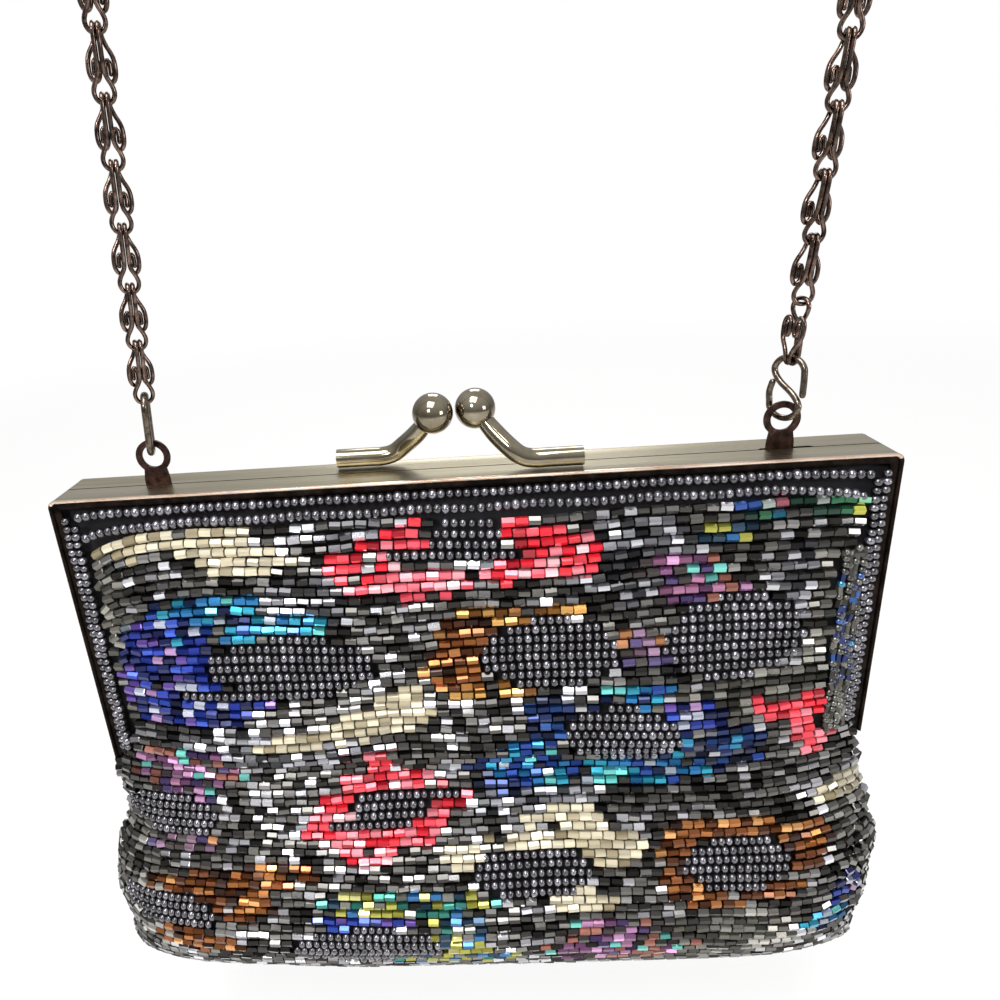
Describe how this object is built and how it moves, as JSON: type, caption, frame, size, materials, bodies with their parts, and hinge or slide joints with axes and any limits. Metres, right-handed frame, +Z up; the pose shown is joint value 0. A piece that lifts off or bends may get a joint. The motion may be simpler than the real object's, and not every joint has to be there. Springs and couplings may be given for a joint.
{
  "type": "beaded handbag",
  "caption": "Soft glass beaded handbag on a hinged metal frame with a ball clasp, hung from a wire link chain strap.",
  "frame": {"origin": "centre of the ring at the top of the strap, from which the bag hangs", "axes": "+Z up, +X to the right when facing the front, -Y towards the viewer of the front"},
  "size_m": [0.215, 0.044, 0.3271],
  "materials": {
    "polished_nickel": "polished, slightly tarnished",
    "bronzed_wire": "dark bronzed, polished on the edges",
    "worn_copper_sheet": "worn, reddish",
    "glass_beads": "glossy cut glass, mostly gunmetal and black with coloured groups",
    "lining_satin": "black satin"
  },
  "bodies": {
    "strap_arch": {"arch_left_link_1": "bronzed_wire", "arch_left_link_2": "bronzed_wire", "arch_left_link_3": "bronzed_wire", "arch_left_link_4": "bronzed_wire", "arch_left_link_5": "bronzed_wire", "arch_left_link_6": "bronzed_wire", "arch_left_link_7": "bronzed_wire", "arch_left_link_8": "bronzed_wire", "arch_left_link_9": "bronzed_wire", "arch_right_link_1": "bronzed_wire", "arch_right_link_2": "bronzed_wire", "arch_right_link_3": "bronzed_wire", "arch_right_link_4": "bronzed_wire", "arch_right_link_5": "bronzed_wire", "arch_right_link_6": "bronzed_wire", "arch_right_link_7": "bronzed_wire", "arch_right_link_8": "bronzed_wire", "arch_right_link_9": "bronzed_wire", "joining_ring": "bronzed_wire"},
    "strap_row_7": {"left_link_7": "bronzed_wire", "right_link_7": "bronzed_wire"},
    "strap_row_6": {"left_link_6": "bronzed_wire", "right_link_6": "bronzed_wire"},
    "strap_row_5": {"left_link_5": "bronzed_wire", "right_link_5": "bronzed_wire"},
    "strap_row_4": {"left_link_4": "bronzed_wire", "right_link_4": "bronzed_wire"},
    "strap_row_3": {"left_link_3": "bronzed_wire", "right_link_3": "bronzed_wire"},
    "strap_row_2": {"left_link_2": "bronzed_wire", "right_link_2": "bronzed_wire"},
    "strap_ends": {"left_link_1": "bronzed_wire", "right_link_1": "bronzed_wire", "jump_ring": "bronzed_wire", "s_hook": "bronzed_wire"},
    "back_half": {"back_frame": "polished_nickel", "back_clasp_knob": "polished_nickel", "left_strap_eye": "worn_copper_sheet", "right_strap_eye": "worn_copper_sheet", "left_hinge_rivet": "polished_nickel", "right_hinge_rivet": "polished_nickel", "beaded_back": "glass_beads", "beaded_front_fold": "glass_beads", "beaded_front_lower": "glass_beads", "lining_back": "lining_satin", "lining_front_fold": "lining_satin", "lining_front_lower": "lining_satin"},
    "front_half": {"front_frame": "polished_nickel", "front_clasp_knob": "polished_nickel", "beaded_front_upper": "glass_beads", "lining_front_upper": "lining_satin"}
  },
  "joints": [
    {"name": "strap_link_7_turn", "type": "hinge", "parent": "strap_arch", "child": "strap_row_7", "pos_m": [-0.00997, 0, -0.07122], "axis": [1, 0, 0], "range_deg": [-10, 10]},
    {"name": "strap_link_6_turn", "type": "hinge", "parent": "strap_row_7", "child": "strap_row_6", "pos_m": [-0.00997, 0, -0.08328], "axis": [1, 0, 0], "range_deg": [-10, 10]},
    {"name": "strap_link_5_turn", "type": "hinge", "parent": "strap_row_6", "child": "strap_row_5", "pos_m": [-0.00997, 0, -0.09534], "axis": [1, 0, 0], "range_deg": [-10, 10]},
    {"name": "strap_link_4_turn", "type": "hinge", "parent": "strap_row_5", "child": "strap_row_4", "pos_m": [-0.00997, 0, -0.10741], "axis": [1, 0, 0], "range_deg": [-10, 10]},
    {"name": "strap_link_3_turn", "type": "hinge", "parent": "strap_row_4", "child": "strap_row_3", "pos_m": [-0.00997, 0, -0.11947], "axis": [1, 0, 0], "range_deg": [-10, 10]},
    {"name": "strap_link_2_turn", "type": "hinge", "parent": "strap_row_3", "child": "strap_row_2", "pos_m": [-0.00997, 0, -0.13154], "axis": [1, 0, 0], "range_deg": [-10, 10]},
    {"name": "strap_link_1_turn", "type": "hinge", "parent": "strap_row_2", "child": "strap_ends", "pos_m": [-0.00997, 0, -0.1436], "axis": [1, 0, 0], "range_deg": [-10, 10]},
    {"name": "bag_swing", "type": "hinge", "parent": "strap_ends", "child": "back_half", "pos_m": [-0.00997, 0, -0.16522], "axis": [1, 0, 0], "range_deg": [-45, 45]},
    {"name": "frame_hinge", "type": "hinge", "parent": "back_half", "child": "front_half", "pos_m": [-0.00997, 0, -0.24577], "axis": [1, 0, 0], "range_deg": [0, 70], "deforming": ["beaded_front_fold", "lining_front_fold"]}
  ]
}
